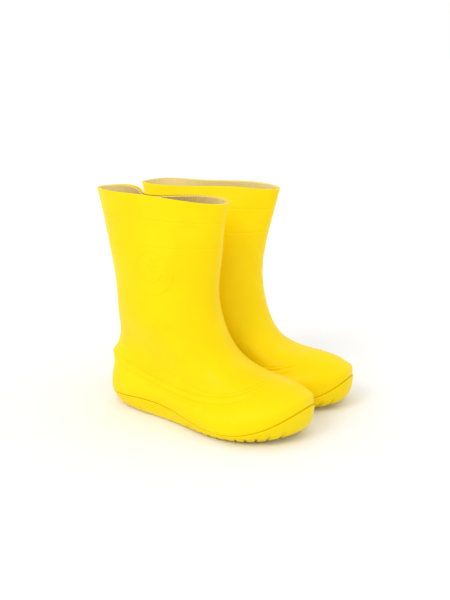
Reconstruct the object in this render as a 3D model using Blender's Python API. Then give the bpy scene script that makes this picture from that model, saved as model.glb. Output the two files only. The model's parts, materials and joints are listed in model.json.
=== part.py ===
"""A pair of moulded deck boots, stood side by side with their toes towards -Y.

The wearer's right boot stands at -X and the left boot at +X. The floor is z = 0, and the origin is
the middle of the pair's footprint. Each boot is six pieces: a moulded upper, the outsole it sits in,
a knitted lining, the lining's stitched-in sole, a loose foam insole and the insole's textile cover.

Every wall follows one skin, a loft through named rings that are unlike each other: the foot-shaped
rings of the sole turn into the oval rings of the shaft. A piece lies at its own depth under the skin.
Lengths are in metres.
"""

from dataclasses import dataclass
from math import cos, pi, radians

import bmesh
import bpy
import numpy as np

MM = 0.001

# The pair
HALF_GAP = 42 * MM  # from the pair's middle to each boot's own middle line
TOE_OUT = radians(4.6)  # each boot turns outwards
PAIR_SHIFT = -7.7 * MM  # brings the pair's footprint to the middle along Y

# The walls, as depths under the skin
GAP = 0.3 * MM  # left between pieces that touch
UPPER_WALL = 2.0 * MM
CUP_WALL = 2.2 * MM  # the outsole's wall, which the upper steps in behind
LINING_THICKNESS = 1.0 * MM
LINING_RIM_DROP = 0.008  # how far the lining stops under the rim, as a share of the skin's length
LEDGE_GAP = 0.0016  # between the outsole's top edge and the upper's ledge, in the same share

# The layers under the foot, as heights over the floor
TREAD_DEPTH = 2.5 * MM
CUP_FLOOR = 5.5 * MM
UPPER_FLOOR = CUP_FLOOR + GAP + UPPER_WALL
LINING_SOLE_THICKNESS = 1.2 * MM
INSOLE_THICKNESS = 4.0 * MM
COVER_THICKNESS = 0.8 * MM
INSOLE_EASE = 0.8 * MM  # the loose insole is this much smaller than the lining all round

# The toe spring lifts the sole in front of the ball of the foot
TOE_SPRING = 6 * MM
BALL = 0.70  # where the ball of the foot lies, as a share of the way from heel to toe
STATIONS = (0.0, 0.38, BALL, 1.0)  # heel, waist, ball and toe

# The sole's outline is wider than an oval at the toe and narrower at the waist
LATERAL_FULLNESS = (1.22, 0.86, 1.26, 1.64)
MEDIAL_FULLNESS = (1.22, 0.86, 1.06, 1.50)
TOE_INWARD = 6 * MM  # the toe bends towards the other boot

# The kick spur, a bump on the heel for pushing the boot off
SPUR_PROUD, SPUR_HEIGHT, SPUR_TALL, SPUR_WIDE = 3.0 * MM, 48 * MM, 5.5 * MM, 1.0

# Mesh density
COLUMNS = 32
SHAFT_ROWS = 14
WALL_ROWS = 3


@dataclass(frozen=True)
class Ring:
    """One section of the skin, in millimetres. Forward is towards the toe."""

    toe: float
    heel: float
    lateral: float
    medial: float
    heights: tuple
    foot: float  # 1 for a foot-shaped ring, 0 for an oval one
    blunt: tuple = (0.0, 0.0)  # how much fuller its front and back ends are
    swept: float = 0.0  # how far its toe sweeps up

    def scaled(self):
        """The ring in metres."""
        sizes = (self.toe, self.heel, self.lateral, self.medial)
        return [value * MM for value in sizes], np.array(self.heights) * MM


# Heights are at the heel, waist, ball and toe, over the sprung sole
SOLE_RINGS = {
    "tread": Ring(97, -88, 33, 30, (0, 0, 0, 0), 1.0),
    "sole": Ring(104, -98, 39, 36, (5, 5, 4, 9), 1.0),
    "foxing": Ring(106, -103, 42, 38, (10, 15.5, 8.5, 16), 1.0, swept=8),
    "bulge": Ring(105.5, -104, 41, 40.5, (29, 27, 23, 28), 1.0, swept=2),
    "galosh": Ring(84, -101.2, 32.5, 37, (51, 34.5, 32, 43), 0.8),
    "vamp": Ring(40, -96, 28.5, 36.5, (68, 62.5, 58, 51.5), 0.5),
    "instep": Ring(15.5, -94, 36, 36, (92, 91, 90, 88), 0.1),
    "ankle": Ring(11, -96.5, 35, 34, (120, 120, 120, 120), 0.0),
    "shaft": Ring(15, -103.5, 34, 33.5, (150, 150, 150, 150), 0.0),
}
# The soft shaft tops have flopped differently: the right one is pinched, the left one is a lens
SHAFT_RINGS = {
    "left": {
        "cuff": Ring(22.5, -111, 31, 27, (178, 178, 178, 178), 0.0, (0.0, 0.3)),
        "rim": Ring(28.5, -117.5, 28.5, 13.5, (201.5, 201.5, 203.5, 201.5), 0.0, (0.36, 1.2)),
    },
    "right": {
        "cuff": Ring(18.5, -112.5, 29.5, 30.5, (178, 178, 178, 178), 0.0, (0.1, 0.0)),
        "rim": Ring(24.5, -122.5, 30, 31, (203, 204, 203, 199), 0.0, (0.0, -0.28)),
    },
}


@dataclass(frozen=True)
class Pinch:
    """How far the middle of a ring is pressed in on each side, and its inner back edge lifted."""

    lateral: float = 0.0
    medial: float = 0.0
    lift: float = 0.0
    centre: float = 0.49
    width: float = 0.23
    lifted_at: float = 0.09
    lift_width: float = 0.12


PINCHES = {
    "left": {},
    "right": {"cuff": Pinch(2 * MM, 16 * MM), "rim": Pinch(4.5 * MM, 42 * MM, 2.7 * MM)},
}


def natural_spline(knots, values, at):
    """Values at the given places on the natural cubic spline through the knots."""
    knots, values, at = np.asarray(knots), np.asarray(values, float), np.asarray(at, float)
    count = len(knots)
    steps = np.diff(knots)
    column = (-1,) + (1,) * (values.ndim - 1)
    slopes = np.diff(values, axis=0) / steps.reshape(column)
    matrix, right = np.eye(count), np.zeros(values.shape)
    for i in range(1, count - 1):
        matrix[i, i - 1 : i + 2] = steps[i - 1], 2 * (steps[i - 1] + steps[i]), steps[i]
        right[i] = 6 * (slopes[i] - slopes[i - 1])
    bends = np.linalg.solve(matrix, right.reshape(count, -1)).reshape(values.shape)
    span = np.clip(np.searchsorted(knots, at, side="right") - 1, 0, count - 2)
    wide = (...,) + (None,) * (values.ndim - 1)
    t, step = (at - knots[span])[wide], steps[span][wide]
    low, high = bends[span], bends[span + 1]
    start = slopes[span] - step * (2 * low + high) / 6
    return values[span] + t * (start + t * (low / 2 + t * (high - low) / (6 * step)))


def past_ball(along):
    """The share of the way from the ball to the toe, at a share of the way from heel to toe."""
    return np.clip((along - BALL) / (1 - BALL), 0, None)


def spring(along):
    """Height of the sprung sole over the floor, at a share of the way from heel to toe."""
    return TOE_SPRING * past_ball(along) ** 2


class Skin:
    """The outer shape of one boot, in its own frame: x is outwards, y is forwards, z is up."""

    def __init__(self, side):
        self.angles = np.linspace(0, 2 * pi, COLUMNS, endpoint=False)
        rings = {**SOLE_RINGS, **SHAFT_RINGS[side]}
        self.names = list(rings)
        self.rings = list(rings.values())
        self.pinches = [PINCHES[side].get(name, Pinch()) for name in rings]
        self.knots = self.find_knots()

    def find_knots(self):
        """Each ring's place along the skin: the mean of the way up the toe and up the heel."""
        lengths = []
        for forward, level in (("toe", -1), ("heel", 0)):
            ends = np.array([(getattr(r, forward), r.heights[level]) for r in self.rings])
            steps = np.linalg.norm(np.diff(ends, axis=0), axis=1)
            lengths.append(np.append(0, np.cumsum(steps)) / steps.sum())
        return (lengths[0] + lengths[1]) / 2

    def knot(self, name):
        """A named ring's place along the skin."""
        return self.knots[self.names.index(name)]

    def ring_points(self, ring, pinch, angles):
        """A ring's points, from the toe round the outer side to the heel and back."""
        (toe, heel, lateral, medial), heights = ring.scaled()
        along, across = (1 + np.cos(angles)) / 2, np.sin(angles)
        outer = across >= 0
        outer_full, inner_full = (
            natural_spline(STATIONS, f, along) for f in (LATERAL_FULLNESS, MEDIAL_FULLNESS)
        )
        full = 1 + ring.foot * (np.where(outer, outer_full, inner_full) - 1)
        full += ring.blunt[0] * along**4 + ring.blunt[1] * (1 - along) ** 4
        x = np.where(outer, lateral, medial) * across * full - ring.foot * TOE_INWARD * along**3
        press = np.exp(-(((along - pinch.centre) / pinch.width) ** 2)) * across**2
        x -= np.where(outer, pinch.lateral, -pinch.medial) * press
        z = natural_spline(STATIONS, heights, along) + ring.foot * spring(along)
        z += ring.swept * MM * past_ball(along) ** 4
        lifted = np.exp(-(((along - pinch.lifted_at) / pinch.lift_width) ** 2))
        z += pinch.lift * lifted * np.clip(-across, 0, None)
        return np.stack([x, heel + (toe - heel) * along, z], axis=-1)

    def surface(self, places):
        """Skin points at one place per column along the skin."""
        rings = np.array(
            [self.ring_points(r, p, self.angles) for r, p in zip(self.rings, self.pinches)]
        )
        places = np.broadcast_to(places, self.angles.shape)
        columns = [
            natural_spline(self.knots, rings[:, i], places[i]) for i in range(len(places))
        ]
        return np.array(columns)

    def normals(self, places):
        """Outward directions of the skin at the same points."""
        places = np.broadcast_to(places, self.angles.shape)
        nudge = 0.002
        up = self.surface(np.minimum(places + nudge, 1)) - self.surface(np.maximum(places - nudge, 0))
        here, turn = self.angles, 0.01
        self.angles = here + turn
        ahead = self.surface(places)
        self.angles = here - turn
        behind = self.surface(places)
        self.angles = here
        normal = np.cross(up, ahead - behind)
        return normal / np.linalg.norm(normal, axis=1, keepdims=True)

    def row(self, places, depth):
        """A ring of points at a depth under the skin."""
        return self.surface(places) - depth * self.normals(places)

    def spurred_row(self, places):
        """A ring of skin points with the kick spur standing out of the heel."""
        points = self.surface(places)
        near = np.exp(-(((points[:, 2] - SPUR_HEIGHT) / SPUR_TALL) ** 2))
        near *= np.exp(-(((self.angles - pi) / SPUR_WIDE) ** 2))
        return points + SPUR_PROUD * near[:, None] * self.normals(places)

    def level_places(self, depth, height):
        """Places where the wall at a depth meets a layer at a height over the sprung sole."""
        low = np.zeros(COLUMNS)
        high = np.full(COLUMNS, self.knot("bulge"))
        target = height + spring((1 + np.cos(self.angles)) / 2)
        for _ in range(30):
            middle = (low + high) / 2
            under = self.row(middle, depth)[:, 2] < target
            low, high = np.where(under, middle, low), np.where(under, high, middle)
        return low

    def layer_row(self, depth, height, ease=0.0):
        """The edge of a layer that fills the boot at a height, held off the wall by ease."""
        points = self.row(self.level_places(depth, height), depth + ease)
        points[:, 2] = height + spring((1 + np.cos(self.angles)) / 2)
        return points


def loft(rows, ring=False):
    """Vertices and triangles of a solid through the rows.

    A ring joins its last row to its first. Otherwise a cap closes the first and the last row: it joins
    each point to its partner on the other side of the foot, so it follows the spring. Walls split
    their quads the same way whether the rows rise or fall, so that nested walls stay parallel.
    """
    columns = len(rows[0])
    points = np.concatenate(rows)
    faces = []
    for row in range(len(rows) if ring else len(rows) - 1):
        above = (row + 1) % len(rows) * columns
        rising = points[above : above + columns, 2].mean() > points[row * columns :][:columns, 2].mean()
        for i in range(columns):
            a, b = row * columns + i, row * columns + (i + 1) % columns
            c, d = above + (i + 1) % columns, above + i
            faces += [(a, b, c), (a, c, d)] if rising else [(a, b, d), (b, c, d)]
    if ring:
        return points, faces
    for first, turned in ((0, True), ((len(rows) - 1) * columns, False)):
        for i in range(columns // 2):
            a, b = first + i, first + i + 1
            c, d = first + (columns - i) % columns, first + columns - i - 1
            cap = [face for face in ((a, b, d), (a, d, c)) if len(set(face)) == 3]
            faces += [tuple(reversed(face)) for face in cap] if turned else cap
    return points, faces


def add_solid(name, rows, side, material, parent, collection, pivot=(0, 0, 0), ring=False):
    """Make a lofted solid as an object under a boot's empty, about its own pivot."""
    points, faces = loft(rows, ring)
    points = points - np.array(pivot)
    points *= (1 if side == "left" else -1, -1, 1)
    if side == "left":
        faces = [tuple(reversed(face)) for face in faces]
    mesh = bpy.data.meshes.new(name)
    mesh.from_pydata(points.tolist(), [], faces)
    shell = bmesh.new()
    shell.from_mesh(mesh)
    bmesh.ops.recalc_face_normals(shell, faces=shell.faces)
    shell.to_mesh(mesh)
    shell.free()
    mesh.shade_smooth()
    mesh.set_sharp_from_angle(angle=radians(40))
    mesh.materials.append(material)
    piece = bpy.data.objects.new(name, mesh)
    piece.parent = parent
    collection.objects.link(piece)
    return piece


def make_material(name, colour, roughness):
    """A plain dielectric finish."""
    material = bpy.data.materials.new(name)
    material.use_nodes = True
    shader = material.node_tree.nodes["Principled BSDF"]
    shader.inputs["Base Color"].default_value = (*colour, 1)
    shader.inputs["Roughness"].default_value = roughness
    return material


def add_empty(name, location, turn, parent, collection):
    """An empty that places a boot, or carries a moving piece on its joint's axis."""
    empty = bpy.data.objects.new(name, None)
    empty.location = location
    empty.rotation_euler.z = turn
    empty.parent = parent
    collection.objects.link(empty)
    return empty


def upper_rows(skin):
    """The upper, from its closed bottom up the outside, over the rim and down the inside."""
    ledge = skin.knot("foxing") + LEDGE_GAP
    tucked = CUP_WALL + GAP
    foot = skin.level_places(tucked, CUP_FLOOR + GAP)
    outside = [skin.row(foot + (ledge - foot) * t, tucked) for t in np.linspace(0, 1, WALL_ROWS)]
    outside[0] = skin.layer_row(tucked, CUP_FLOOR + GAP)
    outside += [skin.spurred_row(ledge + (1 - ledge) * t) for t in (*lined_shares(skin)[:-1], 1)]
    inside = [
        skin.row(ledge + (1 - ledge) * t, inner_depth(t)) for t in (1, *lined_shares(skin)[::-1])
    ]
    depth = inner_depth(0)
    floor = skin.level_places(depth, UPPER_FLOOR)
    inside += [skin.row(ledge + (floor - ledge) * t, depth) for t in np.linspace(0, 1, WALL_ROWS)[1:]]
    inside[-1] = skin.layer_row(depth, UPPER_FLOOR)
    return outside + inside


def lined_shares(skin):
    """Shares of the way from the ledge to the rim where the walls have rows, up to the lining's top."""
    ledge = skin.knot("foxing") + LEDGE_GAP
    shares = np.linspace(0, 1, SHAFT_ROWS)
    shares[-1] = (1 - LINING_RIM_DROP - ledge) / (1 - ledge)
    return shares


def inner_depth(share):
    """How deep the upper's inner face lies, at a share of the way from its ledge to its rim."""
    fade = 0.12  # the step behind the outsole is gone this far up
    return UPPER_WALL + (CUP_WALL + GAP) * max(0, 1 - share / fade)


def lining_rows(skin):
    """The knitted tube inside the upper, open at both ends: outside up, inside down."""
    ledge = skin.knot("foxing") + LEDGE_GAP
    floor = skin.level_places(inner_depth(0), UPPER_FLOOR)
    shares = lined_shares(skin)

    def face(under):
        depth = inner_depth(0) + under
        rows = [skin.layer_row(depth, UPPER_FLOOR + GAP)]
        rows += [skin.row(floor + (ledge - floor) * t, depth) for t in np.linspace(0, 1, WALL_ROWS)[1:]]
        return rows + [skin.row(ledge + (1 - ledge) * t, inner_depth(t) + under) for t in shares[1:]]

    return face(GAP) + face(GAP + LINING_THICKNESS)[::-1]


def outsole_rows(skin):
    """The outsole, from its tread up the wall, over its top edge and down to the cup's floor."""
    top = skin.knot("foxing")
    outside = [skin.row(top * t, 0) for t in np.linspace(0, 1, WALL_ROWS + 3)]
    floor = skin.level_places(CUP_WALL, CUP_FLOOR)
    inside = [skin.row(top + (floor - top) * t, CUP_WALL) for t in np.linspace(0, 1, WALL_ROWS)]
    inside[-1] = skin.layer_row(CUP_WALL, CUP_FLOOR)
    return outside + inside


def layer_rows(skin, bottom, thickness, ease):
    """A sheet that lies in the lining, from its underside to its top."""
    depth = inner_depth(0) + GAP + LINING_THICKNESS + GAP
    edge = skin.layer_row(depth, bottom, ease)
    lifted = edge.copy()
    lifted[:, 2] += thickness
    return [edge, lifted]


def cut_tread(outsole, parent, cutters):
    """Cut straight grooves across the forefoot and the heel of a sole."""
    groove = 2.4 * MM
    lengths = [(-78, -62, -46), (18, 34, 50, 66)]
    for place in [p * MM for patch in lengths for p in patch]:
        bpy.ops.mesh.primitive_cube_add(size=1, location=(0, -place, 0))
        cutter = bpy.context.object
        cutter.name = f"{outsole.name}_groove"
        cutter.scale = (150 * MM, groove, 2 * TREAD_DEPTH)
        cutter.parent = parent
        cutter.display_type = "WIRE"
        cutter.hide_render = True
        for collection in cutter.users_collection:
            collection.objects.unlink(cutter)
        cutters.objects.link(cutter)
        cut = outsole.modifiers.new("groove", "BOOLEAN")
        cut.operation = "DIFFERENCE"
        cut.object = cutter


def build_boot(side, materials, boots, cutters):
    """Make one boot's six pieces."""
    sign = 1 if side == "left" else -1
    boot = add_empty(f"{side}_boot_place", (sign * HALF_GAP, PAIR_SHIFT, 0), sign * TOE_OUT, None, boots)
    skin = Skin(side)

    def add(name, rows, slot, parent=boot, pivot=(0, 0, 0), ring=False):
        return add_solid(f"{side}_{name}", rows, side, materials[slot], parent, boots, pivot, ring)

    add("upper", upper_rows(skin), "pvc")
    outsole = add("outsole", outsole_rows(skin), "pvc")
    cut_tread(outsole, boot, cutters)
    add("lining", lining_rows(skin), "knit", ring=True)
    bottom = UPPER_FLOOR + GAP
    add("lining_sole", layer_rows(skin, bottom, LINING_SOLE_THICKNESS, 0), "board")

    bottom += LINING_SOLE_THICKNESS + GAP
    insole = layer_rows(skin, bottom, INSOLE_THICKNESS, INSOLE_EASE)
    toe = insole[0][0]
    pivot = (0, toe[1], toe[2])
    hinge = add_empty(f"{side}_insole_hinge", (0, -pivot[1], pivot[2]), 0, boot, boots)
    add("insole", insole, "foam", hinge, pivot)
    bottom += INSOLE_THICKNESS + GAP
    cover = layer_rows(skin, bottom, COVER_THICKNESS, INSOLE_EASE)
    add("insole_cover", cover, "textile", hinge, pivot)


def main():
    """Build the pair."""
    for thing in list(bpy.data.objects):
        bpy.data.objects.remove(thing, do_unlink=True)
    boots = bpy.data.collections.new("deck_boots")
    cutters = bpy.data.collections.new("cutters")
    for collection in (boots, cutters):
        bpy.context.scene.collection.children.link(collection)
    materials = {
        "pvc": make_material("yellow_pvc", (0.95, 0.72, 0.01), 0.38),
        "knit": make_material("cream_knit", (0.80, 0.66, 0.38), 0.9),
        "board": make_material("stitched_board", (0.55, 0.48, 0.36), 0.9),
        "foam": make_material("insole_foam", (0.60, 0.56, 0.50), 0.85),
        "textile": make_material("insole_textile", (0.78, 0.66, 0.42), 0.9),
    }
    for side in ("left", "right"):
        build_boot(side, materials, boots, cutters)


main()
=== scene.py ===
"""The looks of a pair of moulded deck boots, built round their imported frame.

Each boot is a moulded upper standing in its outsole, a knitted lining with a stitched-in sole, and a
loose footbed of foam with a textile cover. Every wall follows one skin, a loft through named rings,
and a piece lies at its own depth under it. Lengths are in metres, except in the rings.
"""

from __future__ import annotations

import json
import logging
from dataclasses import dataclass, field
from enum import Enum
from math import atan2, cos, pi, radians, sin

import bpy
import numpy as np
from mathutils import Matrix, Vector

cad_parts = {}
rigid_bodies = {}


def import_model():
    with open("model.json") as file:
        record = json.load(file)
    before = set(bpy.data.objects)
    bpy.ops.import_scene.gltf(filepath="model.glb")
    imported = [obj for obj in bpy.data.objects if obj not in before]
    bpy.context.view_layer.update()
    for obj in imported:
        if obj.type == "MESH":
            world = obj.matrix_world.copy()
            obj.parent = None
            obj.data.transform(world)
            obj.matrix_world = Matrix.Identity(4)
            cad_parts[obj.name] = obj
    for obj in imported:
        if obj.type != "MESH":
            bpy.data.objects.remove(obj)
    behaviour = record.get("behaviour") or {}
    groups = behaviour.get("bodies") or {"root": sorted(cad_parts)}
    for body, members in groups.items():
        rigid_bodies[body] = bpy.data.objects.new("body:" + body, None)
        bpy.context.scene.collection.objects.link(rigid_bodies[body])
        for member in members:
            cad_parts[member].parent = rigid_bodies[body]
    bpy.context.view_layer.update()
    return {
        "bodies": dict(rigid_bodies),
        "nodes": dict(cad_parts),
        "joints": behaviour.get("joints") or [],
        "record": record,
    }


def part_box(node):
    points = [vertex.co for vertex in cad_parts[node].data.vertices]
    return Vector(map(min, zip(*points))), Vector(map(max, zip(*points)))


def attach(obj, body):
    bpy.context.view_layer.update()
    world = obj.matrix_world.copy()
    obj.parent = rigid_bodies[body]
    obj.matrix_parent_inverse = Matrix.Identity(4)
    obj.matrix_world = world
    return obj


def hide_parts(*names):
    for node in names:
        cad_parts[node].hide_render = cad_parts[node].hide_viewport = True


LOG = logging.getLogger("deck_boots")
Array = np.ndarray
Colour = tuple[float, float, float, float]
Tree = bpy.types.NodeTree
Socket = bpy.types.NodeSocket
MM = 0.001
WELD = 0.01 * MM  # grid points this close are one point
CREASE = radians(38)  # faces that meet at more than this keep a sharp edge

# Depths under the skin and heights over the floor, the same as the solids have
GAP = 0.3 * MM
UPPER_WALL = 2.0 * MM
CUP_WALL = 2.2 * MM
LINING_THICKNESS = 1.0 * MM
CUP_FLOOR = 5.5 * MM
UPPER_FLOOR = CUP_FLOOR + GAP + UPPER_WALL
LINING_SOLE_THICKNESS = 1.2 * MM
INSOLE_THICKNESS = 4.0 * MM
COVER_THICKNESS = 0.8 * MM
INSOLE_EASE = 0.8 * MM
LEDGE_RISE = 0.48 * MM  # how far over the foxing ring the upper's edge lies

# The sole's outline and the toe spring
TOE_SPRING = 6 * MM
BALL = 0.70
STATIONS = (0.0, 0.38, BALL, 1.0)
LATERAL_FULLNESS = (1.22, 0.86, 1.26, 1.64)
MEDIAL_FULLNESS = (1.22, 0.86, 1.06, 1.50)
TOE_INWARD = 6 * MM


class Side(Enum):
    """Which foot a boot is for, with the side of the pair that it stands on."""

    LEFT = 1
    RIGHT = -1

    @property
    def label(self) -> str:
        """The word that the names of the side's nodes start with."""
        return self.name.lower()


@dataclass(frozen=True)
class Ring:
    """One section of the skin, in millimetres. Forward is towards the toe."""

    toe: float
    heel: float
    lateral: float
    medial: float
    heights: tuple[float, ...]
    foot: float  # 1 for a foot-shaped ring, 0 for an oval one
    blunt: tuple[float, float] = (0.0, 0.0)  # how much fuller its front and back ends are
    swept: float = 0.0  # how far its toe sweeps up


@dataclass(frozen=True)
class Pinch:
    """How far the middle of a ring is pressed in on each side, and its inner back edge lifted."""

    lateral: float = 0.0
    medial: float = 0.0
    lift: float = 0.0
    centre: float = 0.49
    width: float = 0.23
    lifted_at: float = 0.09
    lift_width: float = 0.12


SOLE_RINGS = {
    "tread": Ring(97, -88, 33, 30, (0, 0, 0, 0), 1.0),
    "sole": Ring(104, -98, 39, 36, (5, 5, 4, 9), 1.0),
    "foxing": Ring(106, -103, 42, 38, (10, 15.5, 8.5, 16), 1.0, swept=8),
    "bulge": Ring(102, -104, 41, 40.5, (29, 27, 23, 32), 1.0, swept=2),
    "galosh": Ring(84, -101.2, 32.5, 37, (51, 34.5, 32, 43), 0.8),
    "vamp": Ring(40, -96, 28.5, 36.5, (68, 62.5, 58, 51.5), 0.5),
    "instep": Ring(15.5, -94, 36, 36, (92, 91, 90, 88), 0.1),
    "ankle": Ring(11, -96.5, 35, 34, (120, 120, 120, 120), 0.0),
    "shaft": Ring(15, -103.5, 34, 33.5, (150, 150, 150, 150), 0.0),
}
SHAFT_RINGS = {
    Side.LEFT: {
        "cuff": Ring(22.5, -111, 31, 27, (178, 178, 178, 178), 0.0, (0.0, 0.3)),
        "rim": Ring(28.5, -117.5, 28.5, 13.5, (201.5, 201.5, 203.5, 201.5), 0.0, (0.36, 1.2)),
    },
    Side.RIGHT: {
        "cuff": Ring(18.5, -112.5, 29.5, 30.5, (178, 178, 178, 178), 0.0, (0.1, 0.0)),
        "rim": Ring(24.5, -122.5, 30, 31, (203, 204, 203, 199), 0.0, (0.0, -0.28)),
    },
}
# How far under the rim each of the shaft's two moulded lines runs
CUFF_DROPS = {Side.LEFT: (18 * MM, 40 * MM), Side.RIGHT: (20 * MM, 43 * MM)}
PINCHES = {
    Side.LEFT: {},
    Side.RIGHT: {"cuff": Pinch(2 * MM, 16 * MM), "rim": Pinch(4.5 * MM, 42 * MM, 2.7 * MM)},
}


def smooth_step(value: Array, low: float, high: float) -> Array:
    """A smooth rise from 0 at low to 1 at high."""
    t = np.clip((value - low) / (high - low), 0, 1)
    return t * t * (3 - 2 * t)


def hump(value: Array, centre: float, width: float) -> Array:
    """A bell of height 1 about centre."""
    return np.exp(-(((value - centre) / width) ** 2))


def past_ball(along: Array) -> Array:
    """The share of the way from the ball to the toe, at a share of the way from heel to toe."""
    return np.clip((along - BALL) / (1 - BALL), 0, None)


def spring(along: Array) -> Array:
    """Height of the sprung sole over the floor, at a share of the way from heel to toe."""
    return TOE_SPRING * past_ball(along) ** 2


def along_of(angles: Array) -> Array:
    """The share of the way from heel to toe at each angle round a ring."""
    return (1 + np.cos(angles)) / 2


class Spline:
    """The natural cubic spline through values at fixed knots."""

    def __init__(self, knots: Array) -> None:
        """Work out the matrix that turns values into the curve's bends.

        Args:
            knots: The places of the values, rising.
        """
        self.knots = np.asarray(knots, float)
        self.steps = np.diff(self.knots)
        count = len(self.knots)
        matrix, right = np.eye(count), np.zeros((count, count))
        for i in range(1, count - 1):
            before, after = self.steps[i - 1], self.steps[i]
            matrix[i, i - 1 : i + 2] = before, 2 * (before + after), after
            right[i, i - 1 : i + 2] = 6 / before, -6 / before - 6 / after, 6 / after
        self.bender = np.linalg.solve(matrix, right)

    def at(self, values: Array, places: Array) -> Array:
        """Points on the curve.

        Args:
            values: One row of values for each knot. Each row may hold one point for each place.
            places: Where the points are wanted.

        Returns:
            One value for each place.
        """
        values, places = np.asarray(values, float), np.asarray(places, float)
        bends = np.tensordot(self.bender, values, axes=1)
        span = np.clip(np.searchsorted(self.knots, places, side="right") - 1, 0, len(self.steps) - 1)
        each = (np.arange(len(places)),) if values.ndim > 1 else ()
        low, high = bends[(span, *each)], bends[(span + 1, *each)]
        start, end = values[(span, *each)], values[(span + 1, *each)]
        wide = (...,) + (None,) * (values.ndim - 2)
        t, step = (places - self.knots[span])[wide], self.steps[span][wide]
        slope = (end - start) / step - step * (2 * low + high) / 6
        return start + t * (slope + t * (low / 2 + t * (high - low) / (6 * step)))


STATION_SPLINE = Spline(STATIONS)


class Skin:
    """The outer shape of one boot, in its own frame: x is outwards, y is forwards, z is up."""

    def __init__(self, side: Side) -> None:
        """Set out the rings of one side.

        Args:
            side: Which boot it is.
        """
        rings = {**SOLE_RINGS, **SHAFT_RINGS[side]}
        self.names = list(rings)
        self.rings = list(rings.values())
        self.pinches = [PINCHES[side].get(name, Pinch()) for name in rings]
        toe_way, heel_way = self.way_up("toe", -1), self.way_up("heel", 0)
        self.length = (toe_way[-1] + heel_way[-1]) / 2 * MM
        self.spline = Spline((toe_way / toe_way[-1] + heel_way / heel_way[-1]) / 2)

    def way_up(self, end: str, level: int) -> Array:
        """Lengths from the tread to each ring, up the toe or the heel, in millimetres."""
        ends = np.array([(getattr(ring, end), ring.heights[level]) for ring in self.rings])
        return np.append(0, np.cumsum(np.linalg.norm(np.diff(ends, axis=0), axis=1)))

    def knot(self, name: str) -> float:
        """A named ring's place along the skin, from 0 at the tread to 1 at the rim."""
        return float(self.spline.knots[self.names.index(name)])

    def ring_points(self, ring: Ring, pinch: Pinch, angles: Array) -> Array:
        """A ring's points, from the toe round the outer side to the heel and back."""
        toe, heel, lateral, medial = (v * MM for v in (ring.toe, ring.heel, ring.lateral, ring.medial))
        along, across = along_of(angles), np.sin(angles)
        outer = across >= 0
        fullness = np.where(
            outer, STATION_SPLINE.at(LATERAL_FULLNESS, along), STATION_SPLINE.at(MEDIAL_FULLNESS, along)
        )
        full = 1 + ring.foot * (fullness - 1) + ring.blunt[0] * along**4 + ring.blunt[1] * (1 - along) ** 4
        x = np.where(outer, lateral, medial) * across * full - ring.foot * TOE_INWARD * along**3
        inwards = np.where(outer, pinch.lateral, -pinch.medial)
        x -= inwards * hump(along, pinch.centre, pinch.width) * across**2
        z = STATION_SPLINE.at(np.array(ring.heights) * MM, along) + ring.foot * spring(along)
        z += ring.swept * MM * past_ball(along) ** 4
        z += pinch.lift * hump(along, pinch.lifted_at, pinch.lift_width) * np.clip(-across, 0, None)
        return np.stack([x, heel + (toe - heel) * along, z], axis=-1)

    def surface(self, angles: Array, places: Array) -> Array:
        """Skin points at the angles round it and the places along it."""
        angles, places = np.broadcast_arrays(angles, places)
        turn = angles.ravel()
        rings = np.array([self.ring_points(r, p, turn) for r, p in zip(self.rings, self.pinches)])
        return self.spline.at(rings, places.ravel()).reshape(*angles.shape, 3)

    def normals(self, angles: Array, places: Array) -> Array:
        """Outward directions of the skin at the same points."""
        nudge, turn = 0.002, 0.01
        up = self.surface(angles, np.minimum(places + nudge, 1))
        up = up - self.surface(angles, np.maximum(places - nudge, 0))
        round_it = self.surface(angles + turn, places) - self.surface(angles - turn, places)
        normal = np.cross(up, round_it)
        return normal / np.linalg.norm(normal, axis=-1, keepdims=True)

    def wall(self, angles: Array, places: Array, depths: Array) -> Array:
        """Rows of points under the skin.

        Args:
            angles: One angle for each column.
            places: A place for each row, or for each row and column.
            depths: How deep each row lies, or each point.

        Returns:
            The points, as rows of columns.
        """
        places, depths = (np.asarray(v, float) for v in (places, depths))
        places = places[:, None] if places.ndim == 1 else places
        depths = depths[:, None] if depths.ndim == 1 else depths
        angles, places, depths = np.broadcast_arrays(angles[None, :], places, depths)
        return self.surface(angles, places) - depths[..., None] * self.normals(angles, places)

    def level_places(self, angles: Array, depth: float, height: float) -> Array:
        """Places where the wall at a depth meets a layer at a height over the sprung sole."""
        low, high = np.zeros(len(angles)), np.full(len(angles), self.knot("bulge"))
        target = height + spring(along_of(angles))
        for _ in range(26):
            middle = (low + high) / 2
            under = self.wall(angles, middle[None, :], np.array([depth]))[0, :, 2] < target
            low, high = np.where(under, middle, low), np.where(under, high, middle)
        return low

    def layer_edge(self, angles: Array, depth: float, height: float, ease: float = 0.0) -> Array:
        """The edge of a layer that fills the boot at a height, held off the wall by ease."""
        places = self.level_places(angles, depth, height)
        points = self.wall(angles, places[None, :], np.array([depth + ease]))[0]
        points[:, 2] = height + spring(along_of(angles))
        return points

    def place_at(self, height: float, angle: float = pi / 2) -> float:
        """The place where the skin reaches a height, on the shaft's outer side."""
        places = np.linspace(self.knot("vamp"), 1, 200)
        heights = self.surface(np.full(200, angle), places)[:, 2]
        return float(np.interp(height, heights, places))


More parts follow.
